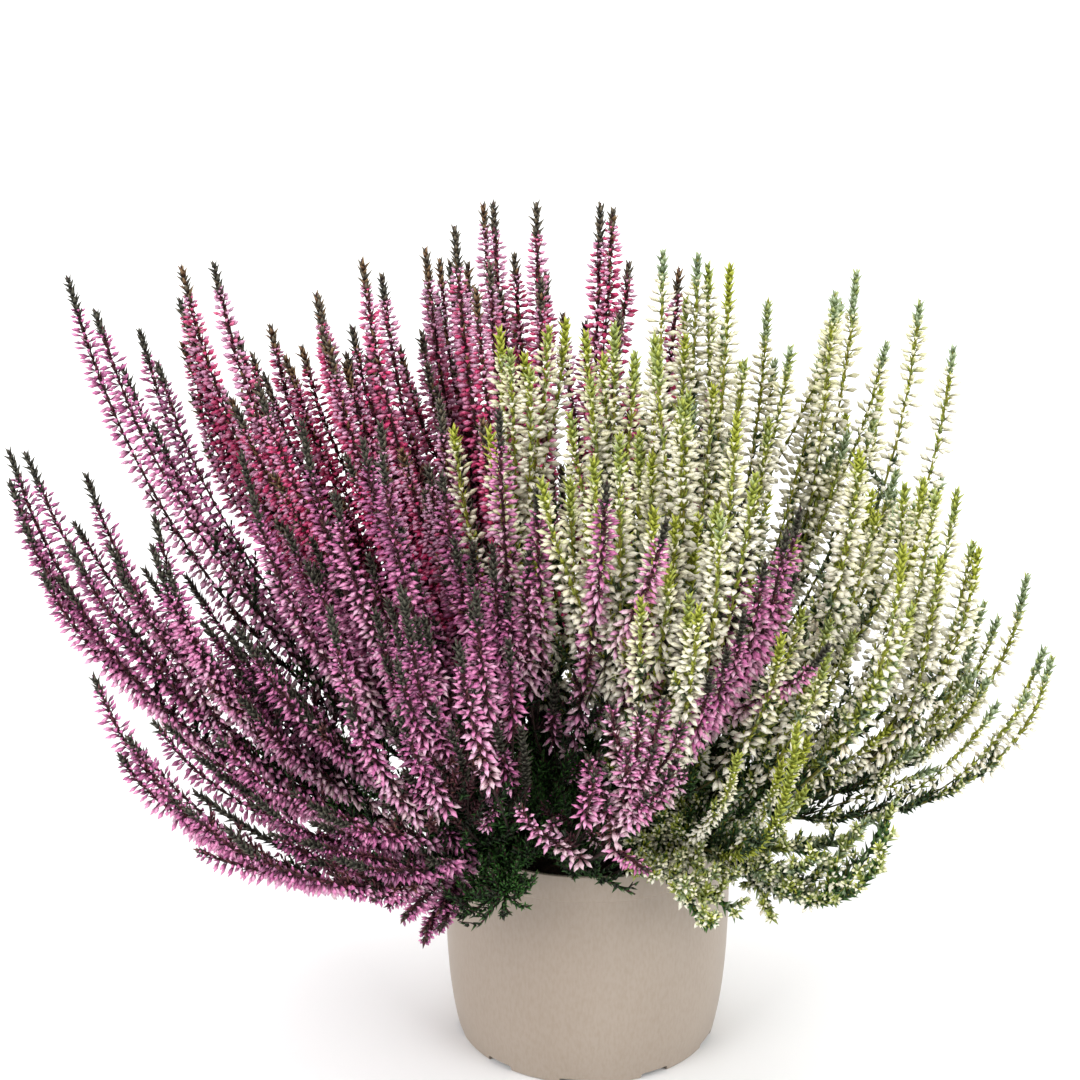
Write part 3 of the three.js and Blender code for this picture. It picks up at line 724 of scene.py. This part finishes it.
# Branches that differ from the rest of their plant.
paleTip = {"length": 4.4 * mm, "width": 1.5 * mm, "ages": (0.4, 0.48)}
loneSpike = {"laterals": (0, 1), "sideLaterals": (0, 0), "budsRound": 5, "ripeness": (0.08, 0.5)}
branchLooks = {
    "mauve_branch_01": {"sprigShare": 1.5},
    "mauve_branch_02": {"sprigShare": 1.5},
    "mauve_branch_03": {"bareFoot": (0.38, 0.42), "sideFoot": (0.22, 0.3), "leafyTip": (5 * mm, 9 * mm),
                        "sprigShare": 1.6},
    "mauve_branch_04": {"laterals": (1, 2), "sideLaterals": (0, 1)},
    "mauve_branch_05": {"laterals": (1, 2), "sideLaterals": (0, 1)},
    "mauve_branch_06": {"sprigShare": 1.5},
    "mauve_branch_07": {"bareFoot": (0.34, 0.4), "aimedTip": (1 * mm, 3 * mm), "sprigShare": 1.6},
    "mauve_branch_10": {"bareFoot": (0.3, 0.36), "sideFoot": (0.2, 0.3)},
    "mauve_branch_11": {"bareFoot": (0.42, 0.46), "sideFoot": (0.44, 0.52), "sprigShare": 2},
    "mauve_branch_12": {"bareFoot": (0.62, 0.66), "sideFoot": (0.46, 0.56), "sprigShare": 2},
    "mauve_branch_13": {"bareFoot": (0.66, 0.7), "sideFoot": (0.46, 0.54), "sprigShare": 2},
    "mauve_branch_14": {"bareFoot": (0.32, 0.38), "sideFoot": (0.34, 0.4), "laterals": (1, 1)},
    "mauve_branch_15": {"bareFoot": (0.3, 0.34), "sideFoot": (0.4, 0.5), "laterals": (1, 1)},
    "mauve_branch_16": {"budGap": 4.6 * mm, "ageSpread": 0.3},
    "mauve_branch_17": {"bareFoot": (0.54, 0.58), "sideFoot": (0.66, 0.74), "aimedFoot": (0.2, 0.34),
                        "laterals": (0, 0), "leafyTip": (3 * mm, 7 * mm), "ripeness": (0.3, 0.98),
                        "budGap": 4 * mm, "budsRound": 4, "opening": (58, 104)},
    "crimson_branch_06": {"laterals": (1, 2), "sideLaterals": (0, 1)},
    "crimson_branch_07": {"laterals": (1, 2), "sideLaterals": (0, 1)},
    "crimson_branch_11": loneSpike,
    "crimson_branch_12": loneSpike,
    "white_branch_03": {"tipLeaf": paleTip},
    "white_branch_05": {"tipLeaf": paleTip},
    "white_branch_06": {"tipLeaf": paleTip},
    "white_branch_07": {"tipLeaf": paleTip},
    "white_branch_08": {"tipLeaf": paleTip, "bareFoot": (0.42, 0.5)},
    "white_branch_09": {"bareFoot": (0.42, 0.5)},
    "white_branch_10": {"bareFoot": (0.44, 0.5), "sideFoot": (0.2, 0.3), "laterals": (1, 1),
                        "sideLaterals": (0, 0), "sprigShare": 1.5},
    "white_branch_11": {"tipLeaf": paleTip, "bareFoot": (0.48, 0.54), "sideFoot": (0.34, 0.42),
                        "laterals": (1, 1), "sideLaterals": (0, 0), "sprigShare": 2,
                        "budLength": (4.4 * mm, 5.8 * mm), "budWidth": 1.2 * mm},
    "white_branch_12": {"tipLeaf": paleTip, "bareFoot": (0.6, 0.66), "sideFoot": (0.4, 0.48),
                        "laterals": (1, 1), "sprigShare": 2, "budLength": (4.4 * mm, 5.8 * mm),
                        "budWidth": 1.2 * mm},
    "white_branch_15": {"bareFoot": (0.42, 0.48), "sideFoot": (0.2, 0.3)},
    "white_branch_16": {"bareFoot": (0.42, 0.48), "sideFoot": (0.2, 0.3)},
    "white_branch_17": {"bareFoot": (0.44, 0.5), "sideFoot": (0.3, 0.38)},
    "white_branch_18": {"leafyMain": True, "budGap": 3.6 * mm, "budWidth": 0.85 * mm,
                        "budLength": (3.4 * mm, 4.4 * mm)},
    "white_shoot_01": {"sprigGap": 4.2 * mm, "sprigSize": 0.66},
    "white_shoot_02": {"sprigGap": 4.2 * mm, "sprigSize": 0.5},
    "white_shoot_03": {"sprigGap": 3.6 * mm, "sprigSize": 0.5},
}
sprigRules = {
    "start": 0.03, "low": 1.4, "length": (14 * mm, 32 * mm), "topSize": 0.5, "lean": (30, 65), "rise": 0.3,
    "radius": 0.35 * mm, "taper": 0.6, "sides": 3, "stride": 12, "ages": (-0.3, 0.3),
    "leafyTip": 2 * mm, "foot": 3 * mm,
}
counts = {"buds": 0, "leaves": 0}


def placeOn(spot, turn, out, tilt, wide, thick, length):
    return (spot @ Matrix.Rotation(turn, 4, "Z") @ Matrix.Translation((out, 0, 0))
            @ Matrix.Rotation(math.radians(tilt), 4, "Y") @ Matrix.Diagonal((thick, wide, length, 1)))


# Where a spike leans, its buds crowd round to the lower side. The second value is how far a bud is above.
def hangTurn(spot, turn):
    down = spot.to_3x3().transposed() @ Vector((0, 0, -1))
    lean = down.xy.length
    off = (turn - math.atan2(down.y, down.x) + math.pi) % fullTurn - math.pi
    return turn - off * spikeRules["hang"] * lean, lean * abs(off) / math.pi


# Rings of leaves, from the tip down.
def addLeaves(bm, frames, rng, leaf, kind, age, end):
    rules = leafRules[kind]
    down, turn = leafRules["start"], rng.uniform(0, fullTurn)
    length = lineLength(frames)
    while down < end:
        grown = mixed(rules["first"], 1, down / rules["grow"])
        for k in range(rules["round"]):
            size = leaf["length"] * grown * between(rng, leafRules["sizes"])
            wide = leaf["width"] * grown
            tilt = mixed(rules["endTilt"], between(rng, rules["tilt"]), down / rules["grow"])
            around = turn + k * fullTurn / rules["round"]
            place = placeOn(frameAt(frames, length - down - size * 0.5), around, leafRules["out"], tilt,
                            wide, wide * leafRules["thick"], size)
            addCopy(bm, leafShape, age + between(rng, leafRules["ages"]), place)
            counts["leaves"] += 1
        turn += fullTurn / (2 * rules["round"]) + between(rng, leafRules["turns"])
        down += rules["gap"]


# Rings of buds, from the leafy tip down to the bare foot, with a leaf or two under each ring.
def addFlowers(buds, leaves, frames, rng, look, tipLength, footLength, scale=1):
    length = lineLength(frames)
    run = max(length - footLength - tipLength, 1 * mm)
    down, turn = tipLength, rng.uniform(0, fullTurn)
    shade = rng.uniform(-1, 1) * look["shade"]
    leaf = look["stemLeaf"]
    while down < length - footLength:
        below = down - tipLength
        grown = mixed(spikeRules["firstLength"], 1, below / spikeRules["budGrow"]) * scale
        swell = mixed(spikeRules["firstWidth"], 1, below / spikeRules["budSwell"])
        ripe = mixed(*look["ripeness"], (below / run) ** spikeRules["ripening"]) + shade
        turn += between(rng, spikeRules["ringTurn"])
        for k in range(look["budsRound"]):
            if rng.random() < look["bareShare"] * below / run:
                continue
            spot = frameAt(frames, length - down + between(rng, spikeRules["budShift"]))
            around = turn + k * fullTurn / look["budsRound"] + rng.uniform(-1, 1) * spikeRules["budTurn"]
            around, above = hangTurn(spot, around)
            size = between(rng, look["budLength"]) * grown * (1 - spikeRules["hangLoss"] * above)
            wide = look["budWidth"] * scale * swell * between(rng, spikeRules["widths"])
            tilt = mixed(*look["opening"], below / run) + rng.uniform(-1, 1) * spikeRules["budTilt"]
            age = ripe + rng.uniform(-1, 1) * look["ageSpread"]
            place = placeOn(spot, around, spikeRules["budOut"], tilt, wide, wide, size)
            addCopy(buds, budShape, age, place)
            counts["buds"] += 1
        for k in range(2 if below < spikeRules["youngRun"] else 1):
            spot = frameAt(frames, length - down - k * tracing["step"])
            tilt = between(rng, spikeRules["leafTilt"])
            place = placeOn(spot, turn + k * spikeRules["leafTurn"], leafRules["out"], tilt,
                            leaf["width"], leaf["width"] * leafRules["thick"], leaf["length"])
            addCopy(leaves, leafShape, between(rng, leaf["ages"]), place)
            counts["leaves"] += 1
        spread = mixed(spikeRules["youngGap"], 1, below / spikeRules["youngRun"])
        down += look["budGap"] * spread * between(rng, spikeRules["gaps"])


# Side growth of a leaning stem keeps to its upper side.
def sideWay(spot, rng):
    turn = rng.uniform(0, fullTurn)
    way = spot.to_3x3() @ Vector((math.cos(turn), math.sin(turn), 0))
    way.z = abs(way.z)
    return way


# A short spike that leaves a longer one and then keeps beside it.
def lateralLine(frames, rng):
    length = lineLength(frames)
    start = length * between(rng, lateralRules["start"])
    run = length * between(rng, lateralRules["length"])
    reach = between(rng, lateralRules["reach"])
    way = sideWay(frameAt(frames, start), rng) + Vector((0, 0, lateralRules["lift"]))
    return [frameAt(frames, start + run * mark).translation + way * reach * (1 - (1 - mark) ** 2)
            for mark in lateralRules["marks"]]


# A spike that leaves its stem for a place of its own.
def aimedLine(frames, tip, share):
    spot = frameAt(frames, lineLength(frames) * share)
    start, ahead = spot.translation, spot.to_3x3() @ Vector((0, 0, 1))
    reach = (tip - start).length
    heading = (tip - start).normalized()
    rise = Vector((0, 0, aimRules["rise"] * max(0, heading.z)))
    first = start + ahead * reach * aimRules["leave"]
    second = tip - (heading * aimRules["arrive"] + rise) * reach
    line = []
    for k in range(aimRules["steps"] + 1):
        t = k / aimRules["steps"]
        near = start * (1 - t) ** 3 + first * 3 * t * (1 - t) ** 2
        line.append(near + second * 3 * t * t * (1 - t) + tip * t ** 3)
    return line


# A leafy sprig leans out of a stem and turns up.
def sprigLine(frames, rng, share, length):
    spot = frameAt(frames, lineLength(frames) * share)
    lean = math.radians(between(rng, sprigRules["lean"]))
    ahead = spot.to_3x3() @ Vector((0, 0, math.cos(lean))) + sideWay(spot, rng) * math.sin(lean)
    start = spot.translation
    rise = Vector((0, 0, sprigRules["rise"]))
    return [start.copy(), start + ahead * length * 0.5, start + (ahead + rise).normalized() * length]


def growSprigs(parts, frames, rng, look, leaf, top, count, size, flowering):
    stems, sheet, buds, leaves = parts
    for k in range(count):
        share = mixed(sprigRules["start"], top, ((k + rng.random()) / count) ** sprigRules["low"])
        reach = between(rng, sprigRules["length"]) * size * mixed(1, sprigRules["topSize"], share / top)
        twig = followLine(sprigLine(frames, rng, share, reach))
        addStem(stems, sheet, twig, sprigRules["radius"], sprigRules["radius"] * sprigRules["taper"],
                sprigRules["sides"], sprigRules["stride"])
        age = mixed(*leaf["ages"], 1 - share / top + between(rng, sprigRules["ages"]))
        addLeaves(leaves, twig, rng, leaf, "sprig", age, lineLength(twig))
        if rng.random() < flowering:
            addFlowers(buds, leaves, twig, rng, look, sprigRules["leafyTip"], sprigRules["foot"],
                       look["sprigBuds"])


# One stem with all that it carries. Its frames are given back, for what grows out of it.
def growShoot(parts, points, kind, rng, look, leafy):
    stems, sheet, buds, leaves = parts
    rules = shootKinds[kind]
    frames = followLine(points)
    length = lineLength(frames)
    age = between(rng, look["tipLeaf"]["ages"])
    addStem(stems, sheet, frames, rules["radius"], stemRules["endRadius"], rules["sides"], rules["stride"])
    bare = length * between(rng, look["bareFoot" if kind == "main" else "sideFoot"])
    if leafy:
        addLeaves(leaves, frames, rng, look["tipLeaf"], "tip", age, length - bare)
    else:
        tipLength = min(between(rng, look["leafyTip"]) * rules["tipShare"], length * spikeRules["tipLimit"])
        addLeaves(leaves, frames, rng, look["tipLeaf"], "tip", age, tipLength)
        addFlowers(buds, leaves, frames, rng, look, tipLength, bare)
    sprigs = round(rules["sprigs"] * look["sprigShare"])
    growSprigs(parts, frames, rng, look, look["sprigLeaf"], look["sprigTop"], sprigs, 1, look["flowering"])
    return frames


# A shoot of the frame, with short spikes beside it and the aimed ones.
def growBranch(parts, points, kind, rng, look, aims):
    frames = growShoot(parts, points, kind, rng, look, kind == "main" and look["leafyMain"])
    for k in range(rng.randint(*look["laterals" if kind == "main" else "sideLaterals"])):
        line = lateralLine(frames, rng)
        growShoot(parts, line, "lateral", rng, look, rng.random() < look["leafyShare"])
    aimedLook = {**look, "sideFoot": look.get("aimedFoot", look["sideFoot"]),
                 "leafyTip": look.get("aimedTip", look["leafyTip"])}
    for *tip, share in aims:
        growShoot(parts, aimedLine(frames, Vector(tip) * mm, share), "lateral", rng, aimedLook, False)


# A low shoot without a spike: short leafy sprigs all along it, with small buds on the white ones.
lowShoots = {
    "radius": 0.55 * mm, "sides": 4, "stride": 6, "leafyShare": 0.9, "sprigTop": 0.97, "sprigGap": 2.8 * mm,
    "sprigSize": 0.8, "flowering": {"mauve": 0.0, "white": 1.0},
}


def growLowShoot(parts, points, rng, look, plant, aims):
    stems, sheet, _, leaves = parts
    frames = followLine(points)
    length = lineLength(frames)
    leaf = look["lowLeaf"]
    addStem(stems, sheet, frames, lowShoots["radius"], stemRules["endRadius"], lowShoots["sides"],
            lowShoots["stride"])
    leafyRun = length * lowShoots["leafyShare"]
    addLeaves(leaves, frames, rng, leaf, "sprig", between(rng, leaf["ages"]), leafyRun)
    sprigs = round(length / look.get("sprigGap", lowShoots["sprigGap"]))
    growSprigs(parts, frames, rng, look, leaf, lowShoots["sprigTop"], sprigs,
               look.get("sprigSize", lowShoots["sprigSize"]), lowShoots["flowering"][plant])
    for *tip, share in aims:
        growLowShoot(parts, aimedLine(frames, Vector(tip) * mm, share), rng, look, plant, [])


def growNode(node, plant, crown):
    look = {**plantLooks[plant], **branchLooks.get(node, {})}
    rng = random.Random(node)
    stems, buds, leaves = bmesh.new(), bmesh.new(), bmesh.new()
    sheet, *_ = [bm.loops.layers.uv.new(bakeMap) for bm in (stems, buds, leaves)]
    parts = (stems, sheet, buds, leaves)
    for i, points in enumerate(readShoots(node, crown)):
        aims = [] if i else aimedTips.get(node, [])
        if "shoot" in node:
            growLowShoot(parts, points, rng, look, plant, aims)
        else:
            growBranch(parts, points, "side" if i else "main", rng, look, aims)
    bmesh.ops.recalc_face_normals(stems, faces=stems.faces)
    finishPiece(f"{node}_stems", stems, finishes[look["stems"]], [node])
    finishPiece(f"{node}_leaves", leaves, finishes[look["leaves"]])
    if buds.faces:
        finishPiece(f"{node}_buds", buds, finishes[look["buds"]])
    else:
        buds.free()


for plant in plantLooks:
    crown = crownTree(plant)
    buildCrown(plant)
    for node in sorted(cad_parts):
        if node.startswith((f"{plant}_branch", f"{plant}_shoot")):
            growNode(node, plant, crown)
    print(plant, "plant grown", counts)


# A pale floor, a soft sky and three broad lights. Angles are in degrees.
studio = {
    "floor": 14, "floorColours": [(0.3, "#e8e8e8"), (0.7, "#ebebeb")], "floorGrain": 3,
    "floorRough": 0.9, "sky": 0.44,
    "suns": {"topLight": (2.4, 50, (-18, 0, 0)), "leftLight": (2.25, 40, (58, 0, -55)),
             "rightLight": (2.15, 40, (58, 0, 55))},
    "cameraPlace": (-0.0204, -0.9302, 0.5674), "cameraTilt": 69.714, "cameraView": 25.19,
    "clip": (0.05, 50),
}


def buildStudio():
    bm = bmesh.new()
    bmesh.ops.create_grid(bm, x_segments=1, y_segments=1, size=studio["floor"])
    mesh = bpy.data.meshes.new("floor")
    bm.to_mesh(mesh)
    bm.free()
    material, tree, shader = startMaterial("floorPaint")
    coordinates = addNode(tree, "TexCoord")
    grain = addNoise(tree, coordinates.outputs["Object"], studio["floorGrain"])
    tree.links.new(addRamp(tree, grain, studio["floorColours"]), shader.inputs["Base Color"])
    shader.inputs["Roughness"].default_value = studio["floorRough"]
    mesh.materials.append(material)
    floor = bpy.data.objects.new("floor", mesh)
    scene.collection.objects.link(floor)
    floor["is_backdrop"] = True
    world = bpy.data.worlds.new("studioSky")
    world.use_nodes = True
    sky = world.node_tree.nodes["Background"]
    sky.inputs["Strength"].default_value = studio["sky"]
    sky.inputs["Color"].default_value = (1, 1, 1, 1)
    scene.world = world
    for name, (energy, spread, turns) in studio["suns"].items():
        sun = bpy.data.lights.new(name, "SUN")
        sun.energy = energy
        sun.angle = math.radians(spread)
        lamp = bpy.data.objects.new(name, sun)
        lamp.rotation_euler = [math.radians(turn) for turn in turns]
        scene.collection.objects.link(lamp)
    lens = bpy.data.cameras.new("camera")
    lens.angle = math.radians(studio["cameraView"])
    lens.clip_start, lens.clip_end = studio["clip"]
    camera = bpy.data.objects.new("camera", lens)
    camera.location = studio["cameraPlace"]
    camera.rotation_euler = (math.radians(studio["cameraTilt"]), 0, 0)
    scene.collection.objects.link(camera)
    scene.camera = camera
    scene.view_settings.view_transform = "Standard"


buildStudio()
print("studio built")

shown = [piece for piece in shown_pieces() if not piece.hide_render]
print("triangles", sum(len(face.vertices) - 2 for piece in shown for face in piece.data.polygons))
